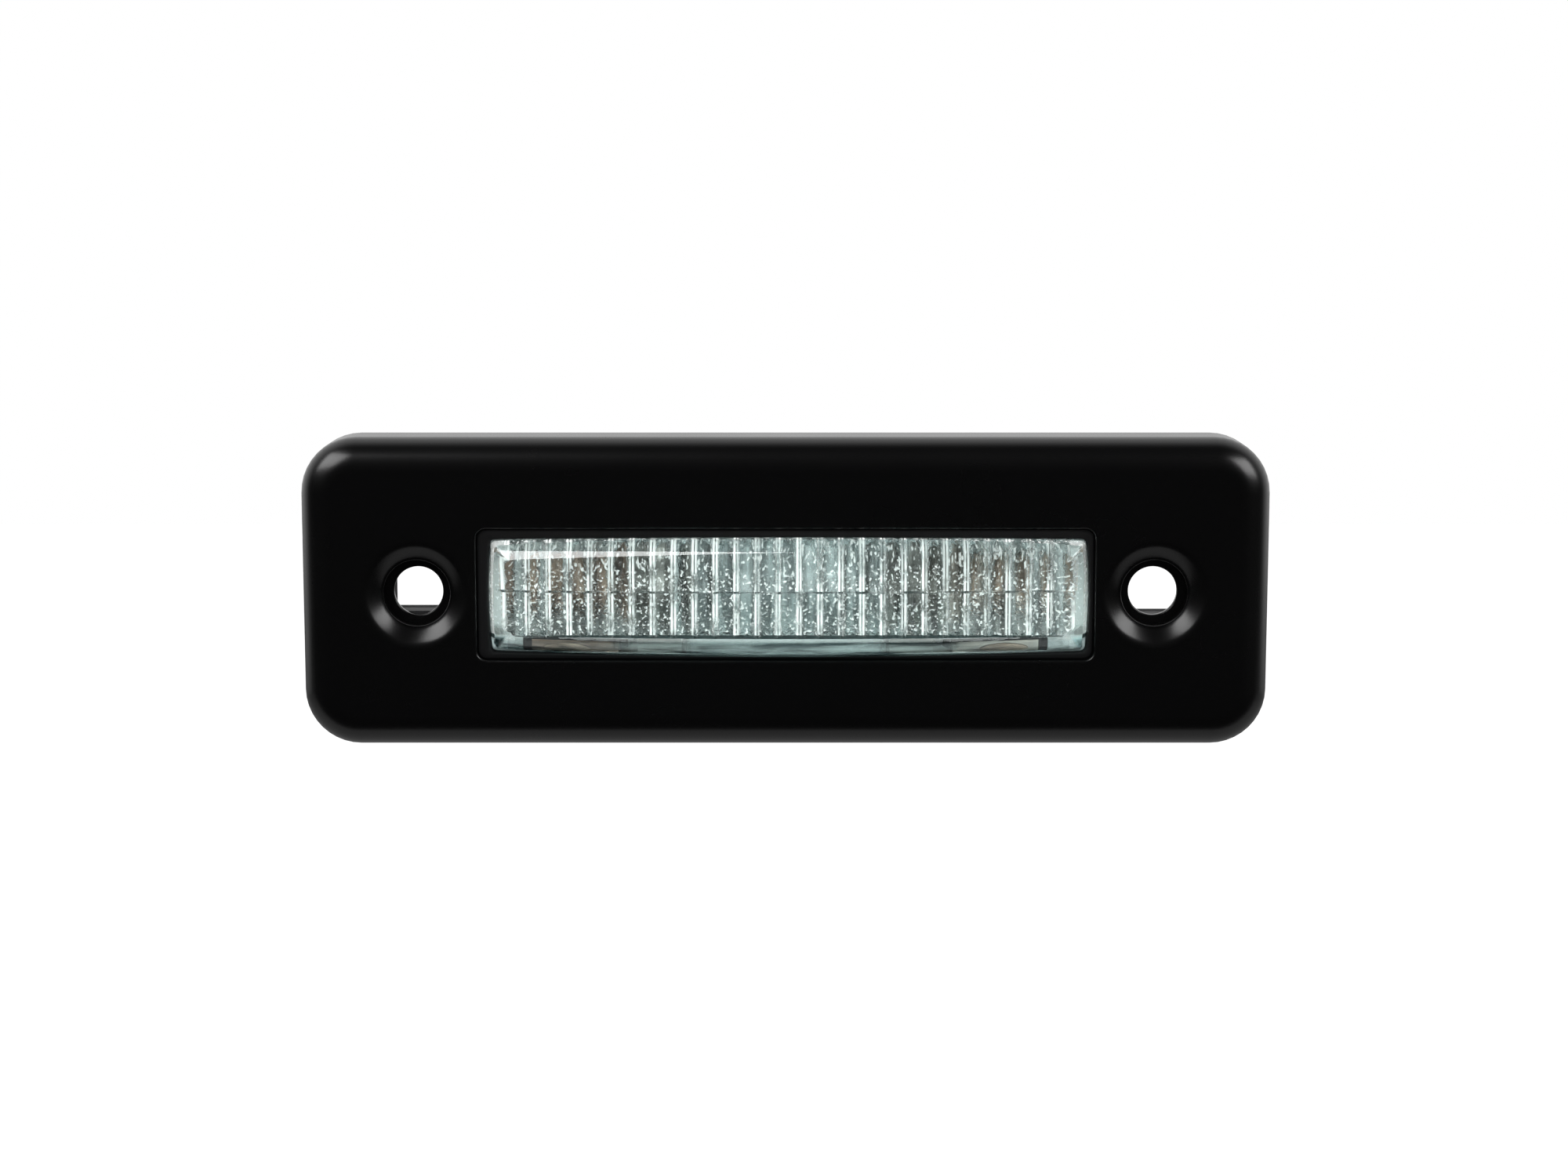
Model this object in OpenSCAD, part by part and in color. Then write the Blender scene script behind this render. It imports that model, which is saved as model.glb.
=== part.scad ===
// Number plate lamp for a car: a pressed steel cover over a clear fluted lens,
// a plastic housing with a reflector and a tubular bulb, and a foam seal to the body panel.
// Sizes are in millimetres. X runs along the lamp, +Z is up and the lamp shines towards -Y.
// The origin is the middle of the mounting plane, where the foam meets the panel.

/* [Cover] */
// Length of the cover
cover_len = 98.5; // [94:0.5:120]
// Height of the cover
cover_h = 31.6; // [29:0.2:44]
// Depth of the cover from its rim to its face
cover_depth = 7.5; // [7:0.1:12]
// Gap between the cover's rim and the panel
rim_gap = 0.6; // [0.2:0.1:1.2]
// Thickness of the pressed sheet
sheet = 0.8; // [0.6:0.1:1]
// Radius of the cover's outline at its corners
corner_r = 6.6; // [5:0.2:9]
// Outer radius of the bend between the wall and the face
edge_r = 3.2; // [2:0.1:4]

/* [Fixing holes] */
// Length of the cover beyond the lens at each end, for which the sizes in this section are given
end_len = 18.8; // [18:0.1:20]
// Gap between a screw dimple and the wall round the lens's seat
dimple_gap = 0.45; // [0.3:0.05:1]
// Diameter of a fixing hole in the cover
hole_d = 5; // [4:0.1:5.6]
// Diameter at which a screw dimple leaves the face
dimple_d = 10.5; // [9.6:0.1:10.8]
// Depth of a screw dimple
dimple_depth = 3; // [2.4:0.1:3.6]
// Outer radius of the bend at the dimple's edge
dimple_bend = 1.85; // [1.2:0.05:1.9]
// Inner radius of the bend at the dimple's floor
dimple_floor_bend = 0.3; // [0.1:0.05:0.5]
// Width of the left screw slot behind the cover
slot_left_w = 5.5; // [5:0.1:6.4]
// Height of the left screw slot
slot_left_h = 4.4; // [4:0.1:5.4]
// Width of the right screw slot behind the cover
slot_right_w = 7; // [6:0.1:7.2]
// Height of the right screw slot
slot_right_h = 5.2; // [4.4:0.1:5.6]

/* [Lens] */
// Length of the lens
lens_len = 60.9; // [57:0.1:61.5]
// Height of the lens
lens_h = 12.1; // [11:0.1:16]
// Height of the lens's highest point above the cover's face
lens_proud = 2.8; // [1.8:0.1:4]
// Fall of the lens's front from its middle to its ends
lens_crown = 1.4; // [0.8:0.1:2]
// Radius of the lens's front edges
lens_edge_r = 2.8; // [1.6:0.1:3]
// Thickness of the lens's end walls
lens_end_wall = 1.95; // [1.4:0.05:2.4]
// Thickness of the lens's upper wall
lens_top_wall = 1.45; // [1.2:0.05:2]
// Thickness of the lens's lower wall
lens_foot_wall = 2.05; // [1.2:0.05:2.4]
// Thickness of the lens's front wall over the lower flutes
lens_front = 3.2; // [2.4:0.1:3.6]
// Thickness of the lens's flange
lens_flange_t = 1.4; // [1:0.1:1.6]
// Distance between two flutes
flute_pitch = 2.11; // [1.8:0.01:3]
// Radius of a flute
flute_r = 1.3; // [1.25:0.05:1.5]
// How far a flute stands out of the lens's inner face
flute_depth = 0.45; // [0.3:0.05:0.5]
// How much deeper the upper row of flutes stands than the lower one
row_step = 0.5; // [0.2:0.1:0.8]
// Height of the line between the two rows above the lens's middle
row_line = 0.45; // [-1:0.05:1]
// Play of the lens to the right of the window's middle
lens_shift = 0.3; // [0:0.1:0.4]
// Play of the lens below the window's middle
lens_drop = 0.15; // [0:0.05:0.25]

/* [Seals] */
// Gap between window and lens at the ends
window_gap_x = 0.85; // [0.6:0.05:1]
// Gap between window and lens above and below
window_gap_z = 0.65; // [0.5:0.05:1]
// Radius of the window's corners
window_r = 1; // [0.6:0.1:1.4]
// Thickness of the lens seal under the cover's face
gland_t = 0.9; // [0.6:0.1:1.1]
// How far the lens seal's lip lies below the cover's face
lip_drop = 0.35; // [0.2:0.05:0.6]
// How far the panel seal stays inside the housing's flange
seal_inset = 1.2; // [0.6:0.1:2]

/* [Housing] */
// Thickness of the housing's flange
flange_t = 1.6; // [1.2:0.1:2]
// Height of the screw bosses on the flange
boss_h = 0.7; // [0.4:0.1:1.2]
// Diameter of a screw boss
boss_d = 8.4; // [8:0.1:8.6]
// Thickness of the bulb pocket's walls
pocket_wall = 1.5; // [1.2:0.1:1.7]
// Thickness of the bulb pocket's floor
floor_t = 1.6; // [1.2:0.1:2.4]
// Inner radius of the pocket's corners
pocket_r = 2; // [1:0.1:3]
// Width of the seat under the lens's flange
seat_w = 1.2; // [0.9:0.1:1.3]
// Width of the wall outside that seat
rim_w = 1.2; // [0.8:0.1:1.3]
// Radius of a crush rib at the flange's edge
crush_r = 0.5; // [0.3:0.05:0.7]
// Height of the ribs that stop a terminal from turning
guard_h = 1; // [0.6:0.1:1.6]
// Thickness of those ribs
guard_t = 1; // [0.8:0.1:1.6]

/* [Reflector] */
// Thickness of the reflector's sheet
reflector_t = 0.5; // [0.3:0.05:0.7]
// Outer radius of the reflector's long bends
reflector_bend = 4.5; // [3:0.1:5]
// How far the reflector's edge lies behind the lens
reflector_drop = 0.2; // [0.1:0.1:2]
// Gap between the bulb's glass and the reflector
bulb_gap = 0.6; // [0.4:0.1:1.2]
// Gap between the bulb's glass and the lens
bulb_clear = 1.5; // [1:0.1:3]
// Free gap round a contact where it comes through the reflector
cutout_gap = 0.9; // [0.6:0.1:1.2]

/* [Bulb] */
// Distance from the bulb's tip to the end of the bulb pocket
bulb_end_gap = 12.45; // [12:0.05:13]
// Diameter of the bulb's glass
bulb_d = 10.5; // [9.5:0.1:11]
// Wall of the bulb's glass
glass_wall = 0.5; // [0.3:0.05:0.8]
// Diameter of a bulb cap
cap_d = 8.5; // [7.8:0.1:9]
// Length of a bulb cap's straight part
cap_run = 4.4; // [3:0.1:5]
// Length of a bulb cap's cone
cap_cone = 2.6; // [2:0.1:3.2]
// Diameter of the flat at a bulb cap's end
cap_end_d = 2.6; // [2.2:0.1:3.2]
// Wall of a bulb cap
cap_wall = 0.3; // [0.2:0.05:0.4]
// Height of the solder drop on a bulb cap
solder_h = 0.4; // [0.3:0.05:0.6]
// Diameter of that solder drop
solder_d = 2; // [1.4:0.1:2.2]
// Diameter of a lead wire
lead_d = 0.5; // [0.3:0.05:0.7]
// Distance from the filament's end to a cap's open end
filament_gap = 5.1; // [4:0.1:6]
// Diameter of the filament's coil
filament_d = 0.6; // [0.4:0.05:0.9]

/* [Contacts] */
// Thickness of a contact strip
contact_t = 0.4; // [0.3:0.05:0.5]
// Width of a contact strip
contact_w = 6.4; // [6:0.1:7]
// Depth of the bulb cap's end past the contact's inner face
contact_bite = 0.6; // [0.4:0.05:0.8]
// Length of a contact's foot
foot_len = 9; // [8.4:0.1:9.4]
// Distance of a rivet from the inner face of its contact's leaf
rivet_from_leaf = 5.4; // [5:0.1:5.8]
// Inner radius of a contact's bend
contact_bend = 0.6; // [0.4:0.05:1]
// Height of a contact above the bulb's axis
contact_top = 3.4; // [3:0.1:3.8]
// How far a contact's lead-in leans outwards
flare = 0.9; // [0.5:0.1:1.4]
// Diameter of a rivet's shank
rivet_d = 3; // [2.4:0.1:3.2]
// Diameter of a rivet's head
rivet_head_d = 5; // [4.4:0.1:5.4]
// Height of a rivet's head
rivet_head_h = 0.6; // [0.4:0.05:0.9]
// Bore in a rivet's rear end
rivet_bore_d = 1.8; // [1.2:0.1:2]

/* [Terminals] */
// Width of a terminal blade
blade_w = 6.3; // [4.8:0.1:6.5]
// Thickness of a terminal blade
blade_t = 0.8; // [0.5:0.1:1]
// Length of a terminal blade behind the housing
blade_len = 9; // [7:0.5:12]
// Inner radius of a terminal's bend
blade_bend = 0.5; // [0.3:0.1:0.8]
// Size of the chamfers at a blade's tip
blade_tip = 1; // [0.5:0.1:1.6]
// Diameter of the catch hole in a blade
catch_d = 1.7; // [1.2:0.1:2]
// Distance of the catch hole from the blade's tip
catch_from_tip = 3.4; // [2.6:0.1:4]

/* [Fits] */
// Clearance between the cover and what stands in it
cover_fit = 0.15; // [0.1:0.05:0.25]
// Clearance round the pocket, the lens flange and the reflector
loose_fit = 0.2; // [0.1:0.05:0.3]
// Clearance between pieces that bear on each other
close_fit = 0.05; // [0.02:0.01:0.08]

/* [Hidden] */

// Facets of an ordinary circle
fine_fn = 96;
// Facets of the lens's shallow arcs, whose radii are far larger than the lamp
wide_fn = 1440;
$fn = fine_fn;
// Overshoot of a cut beyond the surface that it opens
past = 1;
// Lift of the lens's end rounds, so that they meet its crown in a clean edge
end_lift = 0.03;
// How much farther than the lens the band is turned from which it is cut
band_reach = 1.1;

// Steps to the millimetre that scaled sizes are rounded to, so that pieces drawn from them meet exactly
steps = 1000;
function tidy(size) = round(size * steps) / steps;

// Heights above the mounting plane, while a piece lies face up
face_z = rim_gap + cover_depth;
dimple_back_z = face_z - dimple_depth - sheet;
flange_top_z = dimple_back_z - boss_h;
seal_top_z = flange_top_z - flange_t;
gland_z = face_z - sheet - gland_t;
lens_back_z = gland_z - lens_flange_t;
lens_top_z = face_z + lens_proud;
// Height of a cut that passes through the whole lamp
through = 3 * face_z;
bulb_z = lens_top_z - lens_front - row_step - flute_depth - bulb_clear - bulb_d / 2;
floor_z = bulb_z - bulb_d / 2 - bulb_gap - reflector_t;
floor_back_z = floor_z - floor_t;

// Cover and window
window_len = lens_len + 2 * window_gap_x;
window_h = lens_h + 2 * window_gap_z;

// Fixing holes: their sizes follow the length that the cover's ends really have
end_scale = (cover_len - lens_len) / 2 / end_len;
hole_r = tidy(hole_d / 2 * end_scale);
dimple_r = tidy(dimple_d / 2 * end_scale);
dimple_bend_r = tidy(dimple_bend * end_scale);
dimple_wall_r = dimple_r - dimple_bend_r;
dimple_floor_r = tidy(dimple_floor_bend * end_scale);
boss_r = tidy(boss_d / 2 * end_scale);
hole_x = tidy(lens_len / 2 + seat_w + rim_w + dimple_gap + sheet + dimple_wall_r);

// Lens
crown_r = (pow(lens_len / 2, 2) + pow(lens_crown, 2)) / (2 * lens_crown);
crown_z = lens_top_z - crown_r;
cavity_len = lens_len - 2 * lens_end_wall;
cavity_top = lens_h / 2 - lens_top_wall;
cavity_foot = lens_h / 2 - lens_foot_wall;
flute_count = floor(cavity_len / flute_pitch);

// Housing
flange_len = cover_len - 2 * (sheet + cover_fit);
flange_h = cover_h - 2 * (sheet + cover_fit);
flange_r = corner_r - sheet - cover_fit;
pocket_len = lens_len;
pocket_h = max(lens_h, bulb_d + 2 * (bulb_gap + reflector_t + loose_fit));
seat_len = pocket_len + 2 * seat_w;
seat_h = pocket_h + 2 * seat_w;
// Play above and below the lens's flange, which has to hold the lens's drop
seat_play = lens_drop + loose_fit;

// Bulb, contacts and terminals, on the right-hand side
bulb_tip_x = pocket_len / 2 - bulb_end_gap;
cap_end_x = bulb_tip_x - solder_h;
cone_x = cap_end_x - cap_cone;
cap_open_x = cone_x - cap_run;
filament_x = cap_open_x - filament_gap;
leaf_x = cap_end_x - contact_bite;
leaf_hole_r = cap_end_d / 2 + (cap_d - cap_end_d) / 2 * contact_bite / cap_cone + close_fit;
rivet_x = leaf_x + rivet_from_leaf;
blade_x = rivet_x + rivet_head_d / 2 + blade_bend + blade_t;
foot_start_x = rivet_x - blade_w / 2;
rivet_hole_r = rivet_d / 2 + close_fit;

// Stands a piece up that was drawn lying face up
module upright() {
    rotate([90, 0, 0]) children();
}

// Puts a copy on the left of each piece that was drawn on the right
module both_sides() {
    children();
    mirror([1, 0, 0]) children();
}

// Outline with round corners, centred
module rounded(len, h, r) {
    square([len - 2 * r, h], center = true);
    square([len, h - 2 * r], center = true);
    for (x = [-1, 1], y = [-1, 1])
        translate([x * (len / 2 - r), y * (h / 2 - r)]) circle(r);
}

// Plate with round corners between two heights
module plate(len, h, r, z0, z1) {
    translate([0, 0, z0]) linear_extrude(z1 - z0) rounded(len, h, r);
}

// Quarter of a bent sheet's section, in the quadrant of +x and +y
module bend(r_out, r_in) {
    intersection() {
        difference() {
            circle(r_out);
            circle(r_in);
        }
        square(r_out);
    }
}

// What a round of radius r takes off a square corner, from the round's centre towards +x and +y
module corner_waste(r) {
    difference() {
        square(2 * r);
        circle(r, $fn = fine_fn);
    }
}

// Section of a block with round edges, x from its corner's centre outwards
module block_section(plan_r, top_r, z0, z1) {
    difference() {
        translate([0, z0]) square([plan_r, z1 - z0]);
        translate([plan_r - top_r, z1 - top_r]) corner_waste(top_r);
    }
}

// Block with round corners and round upper edges: its section carried round its outline
module block(len, h, plan_r, top_r, z0, z1) {
    run_x = len - 2 * plan_r;
    run_y = h - 2 * plan_r;
    both_sides() {
        for (s = [0, 1])
            mirror([0, s, 0]) translate([run_x / 2, run_y / 2, 0])
                rotate_extrude(angle = 90) block_section(plan_r, top_r, z0, z1);
        translate([run_x / 2, run_y / 2, 0])
            rotate([90, 0, 0]) linear_extrude(run_y) block_section(plan_r, top_r, z0, z1);
    }
    for (s = [0, 1])
        mirror([0, s, 0]) translate([-run_x / 2, run_y / 2, 0])
            rotate([90, 0, 90]) linear_extrude(run_x) block_section(plan_r, top_r, z0, z1);
    translate([-run_x / 2, -run_y / 2, z0]) cube([run_x, run_y, z1 - z0]);
}

// The cover as drawn from sheet, before it is pierced
module tray() {
    difference() {
        block(cover_len, cover_h, corner_r, edge_r, rim_gap, face_z);
        block(cover_len - 2 * sheet, cover_h - 2 * sheet, corner_r - sheet, edge_r - sheet,
            rim_gap - past, face_z - sheet);
    }
}

// Section of a screw dimple, x from the hole's axis outwards: edge bend, wall, floor bend, floor
module dimple_section() {
    wall_foot = dimple_back_z + sheet + dimple_floor_r;
    flat_r = dimple_wall_r - dimple_floor_r;
    translate([dimple_r, face_z - dimple_bend_r])
        mirror([1, 0]) bend(dimple_bend_r, dimple_bend_r - sheet);
    translate([dimple_wall_r, wall_foot]) square([sheet, face_z - dimple_bend_r - wall_foot]);
    translate([flat_r, wall_foot])
        mirror([0, 1]) bend(dimple_floor_r + sheet, dimple_floor_r);
    translate([hole_r, dimple_back_z]) square([flat_r - hole_r, sheet]);
}

module cover() {
    color("black") upright() {
        difference() {
            tray();
            both_sides() translate([hole_x, 0, 0]) cylinder(r = dimple_r, h = face_z + past);
            plate(window_len, window_h, window_r, 0, face_z + past);
        }
        both_sides() translate([hole_x, 0, 0]) rotate_extrude() dimple_section();
    }
}

// Moves a piece to where the lens lies in the window
module lens_place() {
    translate([lens_shift, -lens_drop, 0]) children();
}

// Band with the lens's crown on its outer side and round long edges, turned about the crown's axis
module crowned_band() {
    half_angle = band_reach * asin(lens_len / 2 / crown_r);
    inner_r = lens_back_z - crown_z - 2 * lens_crown;
    translate([0, 0, crown_z]) rotate([-90, 0, 0]) rotate([0, 0, -90 - half_angle])
        rotate_extrude(angle = 2 * half_angle, $fn = wide_fn) difference() {
            translate([inner_r, -lens_h / 2]) square([crown_r - inner_r, lens_h]);
            for (s = [0, 1])
                mirror([0, s]) translate([crown_r - lens_edge_r, lens_h / 2 - lens_edge_r])
                    corner_waste(lens_edge_r);
        }
}

// Outline of the lens's body seen from above, with its round ends
module ends_plan() {
    inner_x = lens_len / 2 - lens_edge_r;
    rise = sqrt(pow(crown_r - lens_edge_r, 2) - pow(inner_x, 2));
    difference() {
        translate([-lens_len / 2, lens_back_z]) square([lens_len, lens_top_z]);
        both_sides() translate([inner_x, crown_z + rise + end_lift]) corner_waste(lens_edge_r);
    }
}

// Carries an outline, drawn with x along the lamp and y towards its front, from height y0 to y1
module across(y0, y1) {
    translate([0, y1, 0]) rotate([90, 0, 0]) linear_extrude(y1 - y0) children();
}

// The hollow behind a front wall of thickness front, seen from above, with the flutes left standing
module hollow_plan(front) {
    inner_r = crown_r - front;
    flute_run = inner_r - flute_depth + flute_r;
    difference() {
        intersection() {
            translate([0, crown_z]) circle(inner_r, $fn = wide_fn);
            translate([-cavity_len / 2, lens_back_z - past]) square([cavity_len, lens_top_z]);
        }
        for (i = [0:flute_count - 1]) {
            x = (i - (flute_count - 1) / 2) * flute_pitch;
            translate([x, crown_z + sqrt(pow(flute_run, 2) - pow(x, 2))]) circle(flute_r);
        }
    }
}

module lens() {
    color([0.78, 0.88, 0.86, 0.5]) upright() lens_place() difference() {
        union() {
            intersection() {
                crowned_band();
                across(-lens_h, lens_h) ends_plan();
            }
            plate(seat_len, seat_h, pocket_r, lens_back_z, gland_z);
        }
        across(row_line, cavity_top) hollow_plan(lens_front + row_step);
        across(-cavity_foot, row_line) hollow_plan(lens_front);
    }
}

module lens_seal() {
    color("dimgray") upright() difference() {
        union() {
            plate(seat_len, seat_h, pocket_r, gland_z, face_z - sheet);
            plate(window_len - 2 * close_fit, window_h - 2 * close_fit, window_r,
                face_z - sheet, face_z - lip_drop);
        }
        lens_place()
            cube([lens_len + 2 * close_fit, lens_h + 2 * close_fit, through], center = true);
    }
}

// The two screw slots, which differ in size
module screw_slots() {
    translate([-hole_x, 0, 0]) cube([slot_left_w * end_scale, slot_left_h, through], center = true);
    translate([hole_x, 0, 0]) cube([slot_right_w * end_scale, slot_right_h, through], center = true);
}

// Crush ribs that centre the flange in the cover: three on each long side, a third of it apart
module crush_ribs() {
    out = cover_fit - close_fit / 2 - crush_r;
    for (x = [-1, 0, 1], s = [-1, 1])
        translate([x * flange_len / 3, s * (flange_h / 2 + out), seal_top_z])
            cylinder(r = crush_r, h = flange_t);
    for (s = [-1, 1])
        translate([s * (flange_len / 2 + out), 0, seal_top_z]) cylinder(r = crush_r, h = flange_t);
}

// Ribs on both sides of a terminal's foot, rooted halfway through the pocket's floor
module terminal_guards() {
    root = floor_t / 2;
    for (s = [0, 1])
        mirror([0, s, 0]) translate([foot_start_x, blade_w / 2 + close_fit, floor_back_z - guard_h])
            cube([blade_w, guard_t, guard_h + root]);
}

module housing() {
    rim_len = seat_len + 2 * rim_w;
    rim_h = seat_h + 2 * (seat_play + rim_w);
    color("dimgray") upright() difference() {
        union() {
            plate(flange_len, flange_h, flange_r, seal_top_z, flange_top_z);
            plate(rim_len, rim_h, pocket_r, flange_top_z, lens_back_z);
            for (s = [-1, 1])
                translate([0, s * (rim_h - rim_w) / 2, lens_back_z])
                    translate([-seat_len / 2, -rim_w / 2, 0]) cube([seat_len, rim_w, lens_flange_t]);
            both_sides() translate([hole_x, 0, flange_top_z]) cylinder(r = boss_r, h = boss_h);
            plate(pocket_len + 2 * pocket_wall, pocket_h + 2 * pocket_wall, pocket_r + pocket_wall,
                floor_back_z, seal_top_z);
            crush_ribs();
            both_sides() terminal_guards();
        }
        plate(pocket_len, pocket_h, pocket_r, floor_z, lens_back_z + past);
        screw_slots();
        both_sides() translate([rivet_x, 0, floor_back_z - past])
            cylinder(r = rivet_hole_r, h = floor_t + 2 * past);
    }
}

module panel_seal() {
    gap = 2 * (pocket_wall + loose_fit);
    color("gray") upright() difference() {
        plate(flange_len - 2 * seal_inset, flange_h - 2 * seal_inset, flange_r - seal_inset, 0, seal_top_z);
        plate(pocket_len + gap, pocket_h + gap, pocket_r + gap / 2, -past, seal_top_z + past);
        screw_slots();
    }
}

// Trough with round lower long edges and round corners, its floor at floor_height
module trough(len, h, bend_r, plan_r, floor_height, top) {
    intersection() {
        translate([-len / 2, 0, 0]) rotate([90, 0, 90]) linear_extrude(len) difference() {
            translate([-h / 2, floor_height]) square([h, top - floor_height]);
            both_sides() translate([h / 2 - bend_r, floor_height + bend_r])
                mirror([0, 1]) corner_waste(bend_r);
        }
        plate(len, h, plan_r, floor_height - past, top + past);
    }
}

module reflector() {
    len = pocket_len - 2 * loose_fit;
    h = pocket_h - 2 * loose_fit;
    plan_r = pocket_r - loose_fit;
    cut_x0 = leaf_x - cutout_gap;
    cut_x1 = leaf_x + foot_len + cutout_gap;
    cut_w = contact_w + 2 * cutout_gap;
    cut_h = reflector_bend / 2;
    color("silver") upright() difference() {
        trough(len, h, reflector_bend, plan_r, floor_z, lens_back_z - reflector_drop);
        trough(len - 2 * reflector_t, h - 2 * reflector_t, reflector_bend - reflector_t,
            plan_r - reflector_t, floor_z + reflector_t, lens_back_z + past);
        both_sides() translate([cut_x0, -cut_w / 2, floor_z - past])
            cube([cut_x1 - cut_x0, cut_w, past + cut_h]);
    }
}

// Side view of a contact: foot, bend, upright leaf and lead-in
module contact_side() {
    outer = contact_bend + contact_t;
    tip_z = bulb_z + contact_top;
    knee_z = tip_z - flare;
    translate([leaf_x + outer, floor_z]) square([foot_len - outer, contact_t]);
    translate([leaf_x + outer, floor_z + outer]) rotate(180) bend(outer, contact_bend);
    translate([leaf_x, floor_z + outer]) square([contact_t, knee_z - floor_z - outer]);
    polygon([
        [leaf_x, knee_z],
        [leaf_x + contact_t, knee_z],
        [leaf_x + contact_t + flare, tip_z],
        [leaf_x + flare, tip_z],
    ]);
}

module contact() {
    color("goldenrod") upright() difference() {
        across(-contact_w / 2, contact_w / 2) contact_side();
        translate([leaf_x - past, 0, bulb_z]) rotate([0, 90, 0])
            cylinder(r = leaf_hole_r, h = contact_t + 2 * past);
        translate([rivet_x, 0, floor_z - past]) cylinder(r = rivet_hole_r, h = contact_t + 2 * past);
    }
}

module contact_right() {
    contact();
}

module contact_left() {
    mirror([1, 0, 0]) contact();
}

// Half section of a rivet, bored from its rear end
module rivet_section() {
    head_z = floor_z + contact_t;
    tail_z = floor_back_z - blade_t;
    tail_h = rivet_head_h;
    bore_top = floor_z;
    difference() {
        union() {
            translate([0, head_z]) square([rivet_head_d / 2, rivet_head_h]);
            translate([0, tail_z]) square([rivet_d / 2, head_z - tail_z]);
            translate([0, tail_z - tail_h]) square([rivet_head_d / 2, tail_h]);
        }
        translate([-past, tail_z - tail_h - past])
            square([past + rivet_bore_d / 2, bore_top - tail_z + tail_h + past]);
    }
}

module rivet() {
    color("darkgoldenrod") upright() translate([rivet_x, 0, 0]) rotate_extrude() rivet_section();
}

module rivet_right() {
    rivet();
}

module rivet_left() {
    mirror([1, 0, 0]) rivet();
}

// Side view of a terminal: foot under the floor, bend and blade
module terminal_side() {
    outer = blade_bend + blade_t;
    translate([foot_start_x, floor_back_z - blade_t])
        square([blade_x - outer - foot_start_x, blade_t]);
    translate([blade_x - outer, floor_back_z - outer]) bend(outer, blade_bend);
    translate([blade_x - blade_t, floor_back_z - outer - blade_len])
        square([blade_t, blade_len]);
}

module terminal() {
    tip_z = floor_back_z - blade_bend - blade_t - blade_len;
    half = blade_w / 2;
    color("silver") upright() difference() {
        across(-half, half) terminal_side();
        translate([rivet_x, 0, floor_back_z - blade_t - past])
            cylinder(r = rivet_hole_r, h = blade_t + 2 * past);
        translate([blade_x - blade_t - past, 0, tip_z + catch_from_tip]) rotate([0, 90, 0])
            cylinder(d = catch_d, h = blade_t + 2 * past);
        for (s = [0, 1])
            mirror([0, s, 0]) translate([blade_x - blade_t - past, 0, 0])
                rotate([90, 0, 90]) linear_extrude(blade_t + 2 * past) polygon([
                    [half - blade_tip, tip_z - past],
                    [half - blade_tip, tip_z],
                    [half, tip_z + 2 * blade_tip],
                    [half + past, tip_z + 2 * blade_tip],
                    [half + past, tip_z - past],
                ]);
    }
}

module terminal_right() {
    terminal();
}

module terminal_left() {
    mirror([1, 0, 0]) terminal();
}

// Revolves a half section, drawn with x as radius and y along the lamp, about the bulb's axis
module about_bulb() {
    upright() translate([0, 0, bulb_z]) rotate([0, 90, 0]) rotate_extrude() children();
}

// Half outline of the glass or of the space in it
module glass_outline(r, shoulder, body_half) {
    translate([0, -body_half]) square([r, 2 * body_half]);
    for (s = [0, 1])
        mirror([0, s]) {
            translate([0, body_half - past]) square([r - shoulder, shoulder + past]);
            intersection() {
                translate([r - shoulder, body_half]) circle(shoulder);
                translate([r - shoulder, body_half - past]) square([shoulder, shoulder + past]);
            }
        }
}

module bulb_glass() {
    neck_r = cap_d / 2 - cap_wall - close_fit;
    shoulder = bulb_d / 2 - neck_r;
    body_half = cap_open_x - shoulder - close_fit;
    neck_half = cone_x - close_fit;
    color([0.9, 0.95, 1, 0.4]) about_bulb() difference() {
        union() {
            glass_outline(bulb_d / 2, shoulder, body_half);
            translate([0, -neck_half]) square([neck_r, 2 * neck_half]);
        }
        glass_outline(bulb_d / 2 - glass_wall, shoulder - glass_wall, body_half);
        translate([0, -cone_x]) square([lead_d / 2 + close_fit, 2 * cone_x]);
    }
}

module bulb_cap() {
    r = cap_d / 2;
    end_r = cap_end_d / 2;
    color("gainsboro") about_bulb() polygon([
        [r, cap_open_x],
        [r, cone_x],
        [end_r, cap_end_x],
        [lead_d / 2 + close_fit, cap_end_x],
        [lead_d / 2 + close_fit, cap_end_x - cap_wall],
        [end_r - cap_wall / 2, cap_end_x - cap_wall],
        [r - cap_wall, cone_x],
        [r - cap_wall, cap_open_x],
    ]);
}

module bulb_cap_right() {
    bulb_cap();
}

module bulb_cap_left() {
    mirror([1, 0, 0]) bulb_cap();
}

module bulb_solder() {
    drop_r = (pow(solder_d / 2, 2) + pow(solder_h, 2)) / (2 * solder_h);
    color("lightgray") upright() translate([0, 0, bulb_z]) intersection() {
        translate([cap_end_x + solder_h - drop_r, 0, 0]) sphere(drop_r);
        translate([cap_end_x, -solder_d, -solder_d]) cube(2 * solder_d);
    }
}

module bulb_solder_right() {
    bulb_solder();
}

module bulb_solder_left() {
    mirror([1, 0, 0]) bulb_solder();
}

module bulb_lead() {
    color("gray") upright() translate([filament_x, 0, bulb_z]) rotate([0, 90, 0])
        cylinder(d = lead_d, h = cap_end_x - filament_x);
}

module bulb_lead_right() {
    bulb_lead();
}

module bulb_lead_left() {
    mirror([1, 0, 0]) bulb_lead();
}

module bulb_filament() {
    color("darkgray") upright() translate([-filament_x, 0, bulb_z]) rotate([0, 90, 0])
        cylinder(d = filament_d, h = 2 * filament_x);
}

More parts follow.
